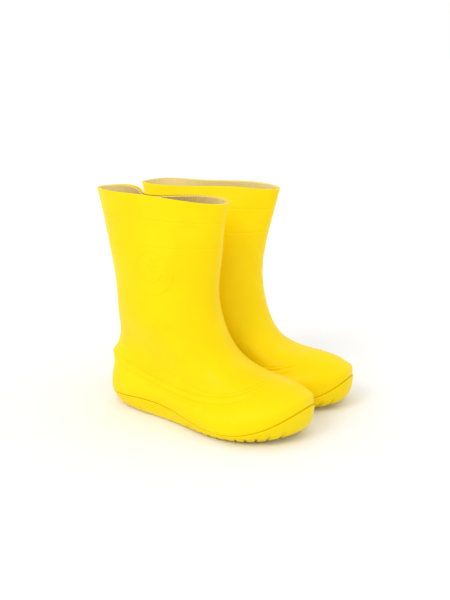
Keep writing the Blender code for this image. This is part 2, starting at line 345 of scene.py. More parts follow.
def spread(low: float, high: float, usual: float, fine: list[tuple[float, float, float]]) -> Array:
    """Numbers from low to high, closer together where they are asked to be.

    Args:
        low: The first number.
        high: The last number.
        usual: The usual step.
        fine: Stretches with a step of their own, each its start, its end and its step.

    Returns:
        The numbers, with both ends.
    """
    at = np.linspace(low, high, 4000)
    density = np.full(len(at), 1 / usual)
    for start, end, step in fine:
        soft = 4 * step
        inside = smooth_step(at, start - soft, start) * (1 - smooth_step(at, end, end + soft))
        density = np.maximum(density, inside / step)
    share = np.append(0, np.cumsum((density[1:] + density[:-1]) / 2 * np.diff(at)))
    return np.interp(np.linspace(0, share[-1], int(share[-1]) + 2), share, at)


def mirrored(half: Array) -> Array:
    """Angles from the toe to the heel, and back along the other side."""
    return np.concatenate([half, 2 * pi - half[-2::-1]])


def cap_rows(edge: Array, shares: Array) -> Array:
    """Rows from a closed edge in to the foot's middle line, where its two sides meet."""
    middle = (edge + edge[::-1]) / 2
    return edge + (middle - edge) * np.asarray(shares)[:, None, None]


@dataclass(frozen=True)
class Place:
    """Where a boot stands, taken from the frame."""

    side: Side
    turn: float
    x: float
    y: float

    @classmethod
    def from_frame(cls, side: Side, frame: dict, skin: Skin) -> Place:
        """Find the place that lays the skin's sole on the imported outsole.

        Args:
            side: Which boot it is.
            skin: The boot's skin.

        Returns:
            The boot's place.
        """
        hinge = next(j for j in frame["joints"] if j["name"] == f"{side.label}_insole_lift")
        turn = atan2(hinge["axis"][1], hinge["axis"][0])
        loose = cls(side, turn, 0.0, 0.0)
        angles = mirrored(np.linspace(0, pi, 17))
        sole = loose.to_world(skin.wall(angles, np.linspace(0, skin.knot("foxing"), 6), np.zeros(6)))
        middle = (sole.min(axis=(0, 1)) + sole.max(axis=(0, 1))) / 2
        low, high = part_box(f"{side.label}_outsole")
        return cls(side, turn, (low.x + high.x) / 2 - middle[0], (low.y + high.y) / 2 - middle[1])

    def to_world(self, points: Array) -> Array:
        """Points of the boot's own frame, where the boot stands."""
        x, y = self.side.value * points[..., 0], -points[..., 1]
        c, s = cos(self.turn), sin(self.turn)
        return np.stack([x * c - y * s + self.x, x * s + y * c + self.y, points[..., 2]], axis=-1)


def colour(code: str) -> Colour:
    """A linear colour from an sRGB hex code."""
    parts = [int(code[i : i + 2], 16) / 255 for i in (1, 3, 5)]
    linear = [p / 12.92 if p <= 0.04045 else ((p + 0.055) / 1.055) ** 2.4 for p in parts]
    return (*linear, 1.0)


def add_node(tree: Tree, kind: str, inputs: dict | None = None, **settings: str) -> bpy.types.Node:
    """Add a node to a tree.

    Args:
        tree: The material's node tree.
        kind: The node's type.
        inputs: Values for its sockets by name or number: an output socket is linked.
        settings: The node's own properties.

    Returns:
        The node.
    """
    node = tree.nodes.new(kind)
    for name, value in settings.items():
        setattr(node, name, value)
    for socket, value in (inputs or {}).items():
        if isinstance(value, bpy.types.NodeSocket):
            tree.links.new(value, node.inputs[socket])
        else:
            node.inputs[socket].default_value = value
    return node


def start_material(name: str) -> tuple[bpy.types.Material, Tree, bpy.types.Node]:
    """A new material with its tree and its Principled shader."""
    material = bpy.data.materials.new(name)
    material.use_nodes = True
    return material, material.node_tree, material.node_tree.nodes["Principled BSDF"]


def place_on(tree: Tree) -> Socket:
    """Places on the piece, in metres."""
    return add_node(tree, "ShaderNodeTexCoord").outputs["Object"]


def noise(tree: Tree, where: Socket, size: float, detail: float = 2.0) -> Socket:
    """The value of a noise whose blotches are about one size across, in metres."""
    inputs = {"Vector": where, "Scale": 1 / size, "Detail": detail, "Roughness": 0.55}
    return add_node(tree, "ShaderNodeTexNoise", inputs).outputs["Fac"]


def ramp(tree: Tree, value: Socket, low: float, high: float, start: float, end: float) -> Socket:
    """A value carried smoothly from one range to another."""
    inputs = {"Value": value, "From Min": low, "From Max": high, "To Min": start, "To Max": end}
    return add_node(tree, "ShaderNodeMapRange", inputs, interpolation_type="SMOOTHSTEP").outputs["Result"]


def mix(tree: Tree, share: Socket, first: Socket | Colour, second: Socket | Colour) -> Socket:
    """One colour mixed into another by a share."""
    node = add_node(tree, "ShaderNodeMix", {0: share, 6: first, 7: second}, data_type="RGBA")
    return node.outputs[2]


def maths(
    tree: Tree, operation: str, first: Socket, second: Socket | float = 0.0, third: float = 0.5
) -> Socket:
    """The result of an operation on up to three values."""
    return add_node(tree, "ShaderNodeMath", {0: first, 1: second, 2: third}, operation=operation).outputs[0]


def bump(tree: Tree, height: Socket, distance: float, strength: float, under: Socket | None = None) -> Socket:
    """A bump of a height pattern, on top of another one."""
    inputs = {"Height": height, "Distance": distance, "Strength": strength}
    if under is not None:
        inputs["Normal"] = under
    return add_node(tree, "ShaderNodeBump", inputs).outputs["Normal"]


@dataclass(frozen=True)
class MouldedPvc:
    """Injection-moulded soft PVC: satin, opaque, with the fine grain of an etched mould."""

    name: str
    body: str = "#F8DA03"
    cloud: str = "#F6D502"
    roughness: float = 0.42
    grain: float = 0.45 * MM
    scuffed: bool = False

    def make(self) -> bpy.types.Material:
        """Build the material."""
        material, tree, shader = start_material(self.name)
        where = place_on(tree)
        # The colour of a moulding drifts a little where the melt flowed
        flow = ramp(tree, noise(tree, where, 38 * MM), 0.35, 0.65, 0.0, 1.0)
        tone = mix(tree, flow, colour(self.body), colour(self.cloud))
        if self.scuffed:
            # The tread's edges are paler where the sole has rubbed on the floor
            height = add_node(tree, "ShaderNodeSeparateXYZ", {"Vector": where}).outputs["Z"]
            low = ramp(tree, height, 1.0 * MM, 7 * MM, 1.0, 0.0)
            patches = ramp(tree, noise(tree, where, 3 * MM, 4), 0.4, 0.62, 0.0, 0.55)
            rubbed = maths(tree, "MULTIPLY", low, patches)
            tone = mix(tree, rubbed, tone, colour("#F3E08C"))
        tree.links.new(tone, shader.inputs["Base Color"])
        polish = ramp(
            tree, noise(tree, where, 14 * MM, 3), 0.3, 0.7, self.roughness - 0.05, self.roughness + 0.06
        )
        tree.links.new(polish, shader.inputs["Roughness"])
        peel = bump(tree, noise(tree, where, 5 * MM, 1), 0.25 * MM, 0.10)
        tree.links.new(
            bump(tree, noise(tree, where, self.grain, 2), 0.05 * MM, 0.22, peel), shader.inputs["Normal"]
        )
        shader.inputs["IOR"].default_value = 1.53
        shader.inputs["Specular IOR Level"].default_value = 0.08
        return material


@dataclass(frozen=True)
class RibKnit:
    """Brushed polyester rib knit: matt and soft, with upright wales of V-shaped stitches and painted shade in
    the recesses between them.
    """

    name: str
    yarn: str = "#F5DF98"
    # The darker colour that the knit's low parts take: painted shade in its recesses.
    shade: str = "#DFC374"
    wale: float = 2.0 * MM
    course: float = 1.3 * MM

    def make(self) -> bpy.types.Material:
        """Build the material. The pattern follows the piece's UV map, which is in metres."""
        material, tree, shader = start_material(self.name)
        flat = add_node(tree, "ShaderNodeUVMap").outputs["UV"]
        across_up = add_node(tree, "ShaderNodeSeparateXYZ", {"Vector": flat})
        where = place_on(tree)
        turns = maths(tree, "MULTIPLY", across_up.outputs["X"], 2 * pi / self.wale)
        wale = maths(tree, "ABSOLUTE", maths(tree, "SINE", maths(tree, "MULTIPLY", turns, 0.5)))
        # Each stitch leans away from its wale's middle, so the courses zigzag
        lean = maths(tree, "MULTIPLY", wale, self.course * 0.8)
        climb = maths(tree, "ADD", across_up.outputs["Y"], lean)
        course = maths(tree, "SINE", maths(tree, "MULTIPLY", climb, 2 * pi / self.course))
        stitch = maths(tree, "MULTIPLY_ADD", course, 0.25, 0.5)
        height = maths(tree, "ADD", maths(tree, "MULTIPLY", wale, 0.6), stitch)
        fuzz = noise(tree, where, 0.8 * MM, 3)
        uneven = maths(tree, "ADD", height, maths(tree, "MULTIPLY", fuzz, 0.5))
        # The low parts of the knit take the shade colour: painted shade in the recesses between wales and
        # stitches, with the fuzz adding random tone.
        shade = ramp(tree, uneven, 0.4, 1.25, 1.0, 0.0)
        tree.links.new(mix(tree, shade, colour(self.yarn), colour(self.shade)), shader.inputs["Base Color"])
        tree.links.new(
            bump(tree, fuzz, 0.2 * MM, 0.3, bump(tree, height, 0.3 * MM, 0.6)), shader.inputs["Normal"]
        )
        shader.inputs["Roughness"].default_value = 0.92
        shader.inputs["Sheen Weight"].default_value = 0.35
        shader.inputs["Sheen Roughness"].default_value = 0.5
        shader.inputs["Specular IOR Level"].default_value = 0.2
        return material


@dataclass(frozen=True)
class NeedledFelt:
    """Needled non-woven board: matt, with short fibres lying every way and painted shade in the gaps between
    them.
    """

    name: str
    fibre: str = "#C9BB9C"
    # The darker colour between the fibres: painted shade in the gaps.
    gap: str = "#A59473"

    def make(self) -> bpy.types.Material:
        """Build the material."""
        material, tree, shader = start_material(self.name)
        where = place_on(tree)
        # Two stretched noises crossed make the fibres
        stretched = [
            add_node(tree, "ShaderNodeMapping", {"Vector": where, "Scale": scale, "Rotation": (0, 0, turn)})
            for scale, turn in (((1, 6, 1), radians(25)), ((6, 1, 1), radians(-15)))
        ]
        fibres = [noise(tree, node.outputs["Vector"], 3 * MM, 3) for node in stretched]
        both = maths(tree, "MAXIMUM", *fibres)
        # The low gaps between the fibres take the darker colour: painted shade.
        tone = mix(tree, ramp(tree, both, 0.45, 0.7, 0.0, 1.0), colour(self.gap), colour(self.fibre))
        tree.links.new(tone, shader.inputs["Base Color"])
        tree.links.new(bump(tree, both, 0.3 * MM, 0.5), shader.inputs["Normal"])
        shader.inputs["Roughness"].default_value = 0.95
        return material


@dataclass(frozen=True)
class FoamSheet:
    """Split EVA foam: matt, with cut cells all over and painted shade in their pits."""

    name: str
    wall: str = "#D8CFB8"
    # The darker colour of the cut cells: painted shade in their pits.
    cell: str = "#B3A88C"
    cell_size: float = 0.7 * MM

    def make(self) -> bpy.types.Material:
        """Build the material."""
        material, tree, shader = start_material(self.name)
        where = place_on(tree)
        cells = add_node(tree, "ShaderNodeTexVoronoi", {"Vector": where, "Scale": 1 / self.cell_size})
        depth = ramp(tree, cells.outputs["Distance"], 0.05, 0.5, 0.0, 1.0)
        # Each cell darkens towards its low middle, which is painted shade in the pit, and a wide noise varies
        # the tone at random.
        cloud = maths(tree, "MULTIPLY", depth, ramp(tree, noise(tree, where, 9 * MM), 0.3, 0.7, 0.7, 1.0))
        tree.links.new(mix(tree, cloud, colour(self.cell), colour(self.wall)), shader.inputs["Base Color"])
        tree.links.new(bump(tree, depth, 0.15 * MM, 0.5), shader.inputs["Normal"])
        shader.inputs["Roughness"].default_value = 0.85
        return material


@dataclass(frozen=True)
class PlainWeave:
    """Brushed cotton plain weave: matt, with a thread over and under at each crossing, and painted shade in
    the low gaps between the threads.
    """

    name: str
    thread: str = "#E6D29A"
    # The darker colour that the weave's low gaps take: painted shade.
    shade: str = "#BBA263"
    spacing: float = 0.9 * MM

    def make(self) -> bpy.types.Material:
        """Build the material. The threads run along and across the sole."""
        material, tree, shader = start_material(self.name)
        where = place_on(tree)
        parts = add_node(tree, "ShaderNodeSeparateXYZ", {"Vector": where})
        waves = [
            maths(tree, "SINE", maths(tree, "MULTIPLY", parts.outputs[axis], pi / self.spacing))
            for axis in ("X", "Y")
        ]
        over = maths(tree, "MULTIPLY", *waves)
        edges = maths(tree, "MAXIMUM", *(maths(tree, "ABSOLUTE", wave) for wave in waves))
        height = maths(tree, "ADD", maths(tree, "MULTIPLY", over, 0.3), edges)
        fuzz = noise(tree, where, 1.5 * MM, 4)
        uneven = maths(tree, "ADD", height, maths(tree, "MULTIPLY", fuzz, 0.4))
        # The low parts of the weave take the shade colour: painted shade in the gaps between the threads,
        # with the fuzz adding random tone.
        shade = ramp(tree, uneven, 0.6, 1.35, 1.0, 0.0)
        tree.links.new(mix(tree, shade, colour(self.thread), colour(self.shade)), shader.inputs["Base Color"])
        tree.links.new(bump(tree, height, 0.2 * MM, 0.5), shader.inputs["Normal"])
        shader.inputs["Roughness"].default_value = 0.9
        shader.inputs["Sheen Weight"].default_value = 0.25
        return material


@dataclass(frozen=True)
class Finishes:
    """The pair's materials, each made once."""

    upper: bpy.types.Material
    sole: bpy.types.Material
    knit: bpy.types.Material
    board: bpy.types.Material
    foam: bpy.types.Material
    textile: bpy.types.Material

    @classmethod
    def make(cls) -> Finishes:
        """Build them all."""
        return cls(
            MouldedPvc("satin_moulded_pvc").make(),
            MouldedPvc("moulded_pvc_sole", "#F4D80C", "#F2D408", 0.46, scuffed=True).make(),
            RibKnit("brushed_rib_knit").make(),
            NeedledFelt("needled_felt_board").make(),
            FoamSheet("split_eva_foam").make(),
            PlainWeave("brushed_plain_weave").make(),
        )


def wrap(name: str, points: Array, material: bpy.types.Material) -> bpy.types.Object:
    """Lay a grid primitive over rows of points, weld its seam and caps, and dress it.

    Args:
        name: The piece's name.
        points: The points in the frame, as rows of columns. The last column lies on the first.
        material: What the piece is made of.

    Returns:
        The piece, with a UV map in metres.
    """
    rows, columns = points.shape[:2]
    if bpy.context.view_layer.objects.active:
        bpy.ops.object.select_all(action="DESELECT")
    bpy.ops.mesh.primitive_grid_add(x_subdivisions=columns - 1, y_subdivisions=rows - 1, size=1)
    piece = bpy.context.object
    piece.name = piece.data.name = name
    piece.data.vertices.foreach_set("co", points.astype(np.float32).ravel())
    lay_uv(piece.data, points)
    bpy.ops.object.mode_set(mode="EDIT")
    bpy.ops.mesh.select_all(action="SELECT")
    bpy.ops.mesh.remove_doubles(threshold=WELD)
    bpy.ops.mesh.normals_make_consistent(inside=False)
    bpy.ops.object.mode_set(mode="OBJECT")
    bpy.ops.object.shade_smooth_by_angle(angle=CREASE)
    piece.data.materials.append(material)
    return piece


def lay_uv(mesh: bpy.types.Mesh, points: Array) -> None:
    """Give a grid a UV map in metres, measured round the rows and along the columns."""
    round_it = np.linalg.norm(np.diff(points, axis=1), axis=2).mean(axis=0)
    along_it = np.linalg.norm(np.diff(points, axis=0), axis=2).mean(axis=1)
    u, v = (np.append(0, np.cumsum(steps)) for steps in (round_it, along_it))
    uv = np.stack(np.meshgrid(u, v), axis=-1).reshape(-1, 2)
    corners = np.zeros(len(mesh.loops), np.int32)
    mesh.loops.foreach_get("vertex_index", corners)
    mesh.uv_layers.active.data.foreach_set("uv", uv[corners].astype(np.float32).ravel())


@dataclass
class Upper:
    """The moulded upper: outside with its mouldings, rounded rim, inner wall and closed foot."""

    side: Side
    skin: Skin
    place: Place
    lip: float = 0.45 * MM  # the roll of the upper's edge over the outsole
    rim_corner: float = 0.55 * MM
    cuff_groove: float = 0.30 * MM
    galosh_depth: float = 0.42 * MM
    galosh_swell: float = 0.35 * MM
    rib_pitch: float = 3.0 * MM
    rib_height: float = 0.32 * MM
    rib_above: float = 9.5 * MM
    badge_angle: float = radians(79)
    badge_height: float = 138 * MM
    badge_radius: float = 20.5 * MM
    badge_relief: float = 0.5 * MM
    spur_height: float = 48 * MM
    spur_proud: float = 3.0 * MM
    spur_tall: float = 5.5 * MM
    spur_wide: float = 1.0  # in radians round the heel

    def angles(self) -> Array:
        """Columns, close together under the badge."""
        reach = self.badge_radius / (50 * MM)
        fine = [(self.badge_angle - reach, self.badge_angle + reach, 0.013)]
        return mirrored(spread(0, pi, 0.034, fine))

    def outer_places(self, start: float) -> Array:
        """Rows up the outside, close together where it has mouldings."""
        skin, step = self.skin, MM / self.skin.length
        galosh, badge = skin.knot("galosh"), skin.place_at(self.badge_height)
        reach = self.badge_radius / skin.length
        fine = [
            (galosh - 13 * step, skin.knot("vamp") + 6 * step, 0.6 * step),
            (badge - reach, badge + reach, 0.65 * step),
            (start, start + 2 * step, 0.6 * step),
        ]
        for drop in CUFF_DROPS[self.side]:
            line = skin.place_at(skin.rings[-1].heights[0] * MM - drop)
            fine.append((line - 1.5 * step, line + 1.5 * step, 0.3 * step))
        return spread(start, 1 - self.rim_corner / skin.length, 2.4 * step, fine)

    def galosh_lines(self, angles: Array) -> list[Array]:
        """How far over the galosh ring the three grooves run, from the lowest to the highest.

        They start together at the kick spur, spread along the sides and close up over the toes.
        """
        turn = np.minimum(angles, 2 * pi - angles)
        back = hump(turn, pi, 0.6)
        side = smooth_step(turn, radians(50), radians(105)) * (1 - back)
        ball = smooth_step(turn, radians(20), radians(60)) * (1 - back)
        middle = (3.5 + 6 * hump(turn, 0.0, 0.55) - 4.5 * back) * MM
        return [middle - (3 + 4 * ball + 3 * side) * MM, middle, middle + (3 + 11 * side) * MM]

    def galosh_relief(self, angles: Array, places: Array) -> Array:
        """Fine grooves along the top of the galosh, with the wall swelling between them."""
        away = (places - self.skin.knot("galosh")) * self.skin.length
        lines = self.galosh_lines(angles)
        relief = np.zeros_like(away)
        for line in lines:
            relief -= self.galosh_depth * hump(away, line, 0.75 * MM)
        for low, high in zip(lines, lines[1:]):
            share = np.clip((away - low) / (high - low), 0, 1)
            relief += self.galosh_swell * 4 * share * (1 - share)
        return relief * smooth_step(np.minimum(angles, 2 * pi - angles), 0.15, 0.5)

    def cuff_relief(self, places: Array) -> Array:
        """Two moulded lines round the shaft, each a fine groove at a slight step."""
        skin, relief = self.skin, np.zeros_like(places)
        for drop in CUFF_DROPS[self.side]:
            line = skin.place_at(skin.rings[-1].heights[0] * MM - drop)
            away = (places - line) * skin.length
            relief -= self.cuff_groove * hump(away, 0.0, 0.65 * MM)
            relief += 0.5 * self.cuff_groove * hump(away, -1.6 * MM, 0.8 * MM)
        return relief

    def rib_relief(self, angles: Array, places: Array) -> Array:
        """Short flex ribs across the top of the vamp."""
        away = (places - self.skin.knot("galosh")) * self.skin.length - self.rib_above
        wave = 0.5 + 0.5 * np.cos(2 * pi * away / self.rib_pitch)
        inside = 1 - smooth_step(np.abs(away), 1.5 * self.rib_pitch, 2 * self.rib_pitch)
        width = 1 - smooth_step(np.minimum(angles, 2 * pi - angles), 0.3, 0.6)
        return self.rib_height * wave * inside * width

    def spur_relief(self, angles: Array, points: Array) -> Array:
        """The kick spur, a bump on the heel for pushing the boot off."""
        tall = hump(points[..., 2], self.spur_height, self.spur_tall)
        return self.spur_proud * tall * hump(angles, pi, self.spur_wide)

    def badge_relief_at(self, points: Array) -> Array:
        """A raised ring with a plain anchor in it, on the shaft's outer side."""
        centre = self.skin.surface(
            np.array([self.badge_angle]), np.array([self.skin.place_at(self.badge_height)])
        )[0]
        x, y = -(points[..., 1] - centre[1]), points[..., 2] - centre[2]
        outer = points[..., 0] > 0
        r = np.hypot(x, y)
        line, scale = 0.62 * MM, self.badge_radius
        shank = np.hypot(x, np.maximum(np.abs(y - 0.02 * scale) - 0.42 * scale, 0)) - line
        stock = np.hypot(np.maximum(np.abs(x) - 0.20 * scale, 0), y - 0.30 * scale) - line
        eye = np.abs(np.hypot(x, y - 0.54 * scale) - 0.10 * scale) - 0.7 * line
        arc = np.abs(np.hypot(x, y - 0.02 * scale) - 0.42 * scale) - line
        arc = np.where(y < -0.12 * scale, arc, 1.0)
        tips = np.hypot(np.abs(x) - 0.42 * scale, y + 0.10 * scale) - 1.5 * line
        ring = np.abs(r - 0.94 * scale) - line
        nearest = np.minimum.reduce([shank, stock, eye, arc, tips, ring])
        return self.badge_relief * (1 - smooth_step(nearest, -0.1 * MM, 0.7 * MM)) * outer

    def outside(self, angles: Array, start: float) -> Array:
        """The visible outside, with every moulding on it."""
        places = self.outer_places(start)
        grid = np.broadcast_to(places[:, None], (len(places), len(angles)))
        turns = np.broadcast_to(angles[None, :], grid.shape)
        plain = self.skin.wall(angles, places, np.zeros(len(places)))
        relief = self.galosh_relief(turns, grid) + self.cuff_relief(grid) + self.rib_relief(turns, grid)
        relief += self.spur_relief(turns, plain) + self.badge_relief_at(plain)
        return plain + relief[..., None] * self.skin.normals(turns, grid)

    def build(self, material: bpy.types.Material) -> bpy.types.Object:
        """Model the upper.

        Args:
            material: What it is moulded from.

        Returns:
            The closed piece.
        """
        skin, angles = self.skin, self.angles()
        step = 1 / skin.length
        ledge = skin.knot("foxing") + LEDGE_RISE * step
        tucked = CUP_WALL + GAP
        bottom = skin.layer_edge(angles, tucked, CUP_FLOOR + GAP)
        foot = skin.level_places(angles, tucked, CUP_FLOOR + GAP)
        up = np.linspace(0, 1, 5)[1:, None]
        parts = [cap_rows(bottom, np.linspace(1, 0, 6))]
        parts.append(skin.wall(angles, foot + (ledge - foot) * up, np.full(4, tucked)))
        roll = np.linspace(0, pi / 2, 6)
        rolled = ledge + self.lip * step * (1 - np.cos(roll))
        parts.append(skin.wall(angles, rolled, self.lip * (1 - np.sin(roll))))
        parts.append(self.outside(angles, ledge + self.lip * step * 1.15))
        corner = np.linspace(0, pi / 2, 4)[1:]
        r = self.rim_corner
        rise = 1 - r * step * (1 - np.sin(corner))
        parts.append(skin.wall(angles, rise, r * (1 - np.cos(corner))))
        parts.append(skin.wall(angles, rise[::-1], UPPER_WALL - r * (1 - np.cos(corner[::-1]))))
        shares = np.linspace(1 - r * step, 0, 26)
        parts.append(skin.wall(angles, ledge + (1 - ledge) * shares, inner_depth(shares)))
        depth = float(inner_depth(np.zeros(1))[0])
        floor = skin.level_places(angles, depth, UPPER_FLOOR)
        down = np.linspace(0, 1, 4)[1:-1, None]
        parts.append(skin.wall(angles, ledge + (floor - ledge) * down, np.full(2, depth)))
        parts.append(cap_rows(skin.layer_edge(angles, depth, UPPER_FLOOR), np.linspace(0, 1, 6)))
        return wrap(f"{self.side.label}_upper_shell", self.place.to_world(np.concatenate(parts)), material)


def inner_depth(shares: Array) -> Array:
    """How deep the upper's inner face lies, at shares of the way from its ledge to its rim."""
    fade = 0.12
    return UPPER_WALL + (CUP_WALL + GAP) * np.maximum(0, 1 - shares / fade)


@dataclass
class Outsole:
    """The moulded outsole: grooved tread, foxing wall with its toe bumper, and the cup inside."""

    side: Side
    skin: Skin
    place: Place
    pitch: float = 8 * MM
    groove: float = 2.0 * MM
    depth: float = 2.5 * MM
    side_depth: float = 1.3 * MM
    forefoot: tuple[float, float] = (10 * MM, 90 * MM)
    heel: tuple[float, float] = (-86 * MM, -44 * MM)
    wave: float = 1.6 * MM
    wavelength: float = 15 * MM
    bumper: float = 0.9 * MM
    bumper_from: tuple[float, float] = (0.72, 0.92)  # shares of the way to the toe where it swells
    proud: float = 0.35 * MM
    top_radius: float = 0.4 * MM
    channel: tuple[float, float, float] = (0.6, 0.178, 0.03)  # its depth, place and width, as shares

    def groove_centres(self) -> Array:
        """Where the grooves lie, as shares of the way from heel to toe."""
        tread = self.skin.rings[0]
        length = (tread.toe - tread.heel) * MM
        patches = [
            np.arange(low, high + self.pitch / 2, self.pitch) for low, high in (self.heel, self.forefoot)
        ]
        return (np.concatenate(patches) - tread.heel * MM) / length

    def angles(self) -> Array:
        """Columns that lie on both edges of every groove."""
        tread = self.skin.rings[0]
        half = self.groove / 2 / ((tread.toe - tread.heel) * MM)
        centres = self.groove_centres()
        edges = np.sort(np.concatenate([centres + half * edge for edge in (-1.25, -0.75, 0.75, 1.25)]))
        plain = along_of(np.linspace(0, pi, 110))
        clear = np.abs(plain[:, None] - edges[None, :]).min(axis=1) > 0.5 * half
        along = np.sort(np.concatenate([plain[clear], edges]))[::-1]
        return mirrored(np.arccos(np.clip(2 * along - 1, -1, 1)))

    def grooved(self, angles: Array) -> Array:
        """How far into a groove each column lies, from 0 to 1."""
        tread = self.skin.rings[0]
        half = self.groove / 2 / ((tread.toe - tread.heel) * MM)
        away = np.abs(along_of(angles)[:, None] - self.groove_centres()[None, :]).min(axis=1)
        return 1 - smooth_step(away, 0.75 * half, 1.25 * half)

    def tread_rows(self, angles: Array) -> Array:
        """The underside, from the foot's middle line out to its edge."""
        edge = self.skin.wall(angles, np.zeros(1), np.zeros(1))[0]
        shares = np.array([*np.linspace(1, 0.24, 22), 0.215, 0.19, 0.165, 0.14, 0.115, 0.08, 0.04])
        rows = cap_rows(edge, shares)
        inside = smooth_step(shares, 0.0, 0.3)[:, None]
        waves = self.wave * np.sin(2 * pi * rows[..., 0] / self.wavelength)
        rows[..., 1] += waves * inside * (1 - hump(np.abs(np.cos(angles)), 1, 0.06))
        deep, at, wide = self.channel
        channel = deep * hump(shares, at, wide)[:, None]
        cut = self.grooved(angles)[None, :] * (shares > 0.02)[:, None]
        rows[..., 2] += self.depth * np.maximum(cut, channel)
        return rows

    def wall_rows(self, angles: Array) -> Array:
        """The foxing wall from the floor to its rolled top edge."""
        skin = self.skin
        top, sole, radius = skin.knot("foxing"), skin.knot("sole"), self.top_radius
        places = np.linspace(0, top - radius / skin.length, 22)
        along = along_of(angles)[None, :]
        climbing = smooth_step(places, 0.0, top)[:, None]
        out = self.proud + self.bumper * smooth_step(along, *self.bumper_from)
        relief = out * smooth_step(climbing, 0.25, 0.7)
        fade = 1 - smooth_step(places, 0.75 * sole, 1.35 * sole)[:, None]
        relief = relief - self.side_depth * self.grooved(angles)[None, :] * fade
        rows = skin.wall(angles, places, -relief)
        roll = np.linspace(0, pi / 2, 5)[1:]
        edge = top - radius / skin.length * (1 - np.sin(roll))
        rolled = skin.wall(angles, edge, radius * (1 - np.cos(roll))[:, None] - out)
        return np.concatenate([rows, rolled])

    def build(self, material: bpy.types.Material) -> bpy.types.Object:
        """Model the outsole.

        Args:
            material: What it is moulded from.

        Returns:
            The closed piece.
        """
        skin, angles = self.skin, self.angles()
        floor = skin.level_places(angles, CUP_WALL, CUP_FLOOR)
        top = skin.knot("foxing")
        down = np.linspace(0, 1, 5)[:-1, None]
        parts = [self.tread_rows(angles), self.wall_rows(angles)]
        parts.append(skin.wall(angles, top + (floor - top) * down, np.full(4, CUP_WALL)))
        parts.append(cap_rows(skin.layer_edge(angles, CUP_WALL, CUP_FLOOR), np.linspace(0, 1, 6)))
        rows = self.place.to_world(np.concatenate(parts))
        return wrap(f"{self.side.label}_grooved_outsole", rows, material)


@dataclass
class Lining:
    """The knitted tube inside the upper, ribbed, with an overlocked seam down the back."""

    side: Side
    skin: Skin
    place: Place
    wale: float = 2.0 * MM
    rib: float = 0.16 * MM
    rim_drop: float = 0.004
    seam: float = 0.5 * MM
    seam_width: float = 0.02  # in radians round the heel
    girth: float = 225 * MM  # round the inside of the shaft

    def build(self, material: bpy.types.Material) -> bpy.types.Object:
        """Model the lining.

        Args:
            material: The knit.

        Returns:
            The piece, a wall with two faces that is open at both ends.
        """
        skin = self.skin
        ribs = round(self.girth / self.wale / 2) * 2
        angles = self.even_angles(ribs * 4)
        ledge = skin.knot("foxing") + LEDGE_RISE / skin.length
        start = float(inner_depth(np.zeros(1))[0])
        floor = skin.level_places(angles, start, UPPER_FLOOR)
        top = (1 - self.rim_drop - ledge) / (1 - ledge)
        ribbing = self.rib * (0.5 + 0.5 * np.cos(np.arange(len(angles)) * pi / 2))
        ribbing += self.seam * hump(angles, pi, self.seam_width)
        inner = self.face(angles, floor, ledge, top, GAP + LINING_THICKNESS, 44, ribbing)
        outer = self.face(angles, floor, ledge, top, GAP, 14, 0 * ribbing)
        edge = (inner[-1:] * 0.5 + outer[-1:] * 0.5) + np.array([0, 0, 0.4 * MM])
        rows = np.concatenate([outer, edge, inner[::-1], outer[:1]])
        return wrap(f"{self.side.label}_knit_lining", self.place.to_world(rows), material)

    def even_angles(self, count: int) -> Array:
        """Angles that are evenly spaced along the shaft's girth, the same on both sides."""
        fine = np.linspace(0, pi, 2000)
        ring = self.skin.surface(fine, np.full(len(fine), self.skin.knot("cuff")))
        way = np.append(0, np.cumsum(np.linalg.norm(np.diff(ring, axis=0), axis=1)))
        return mirrored(np.interp(np.linspace(0, way[-1], count // 2 + 1), way, fine))

    def face(
        self, angles: Array, floor: Array, ledge: float, top: float, under: float, rows: int, ribbing: Array
    ) -> Array:
        """One face of the knit, from the boot's floor to the top.

        Args:
            angles: The columns.
            floor: Where each column starts.
            ledge: The place of the upper's ledge.
            top: The share of the way from the ledge to the rim where the knit ends.
            under: How far the face lies under the upper's inner face.
            rows: How many rows it has over the ledge.
            ribbing: How far each column stands out of the face.

        Returns:
            Its rows, upwards.
        """
        skin, depth = self.skin, float(inner_depth(np.zeros(1))[0]) + under
        first = skin.layer_edge(angles, depth, UPPER_FLOOR + GAP)[None]
        low = skin.wall(angles, floor + (ledge - floor) * np.array([[0.5]]), (depth + ribbing)[None, :])
        shares = np.linspace(0, 1, rows) ** 0.8 * top
        depths = inner_depth(shares)[:, None] + under + ribbing[None, :]
        return np.concatenate([first, low, skin.wall(angles, ledge + (1 - ledge) * shares, depths)])


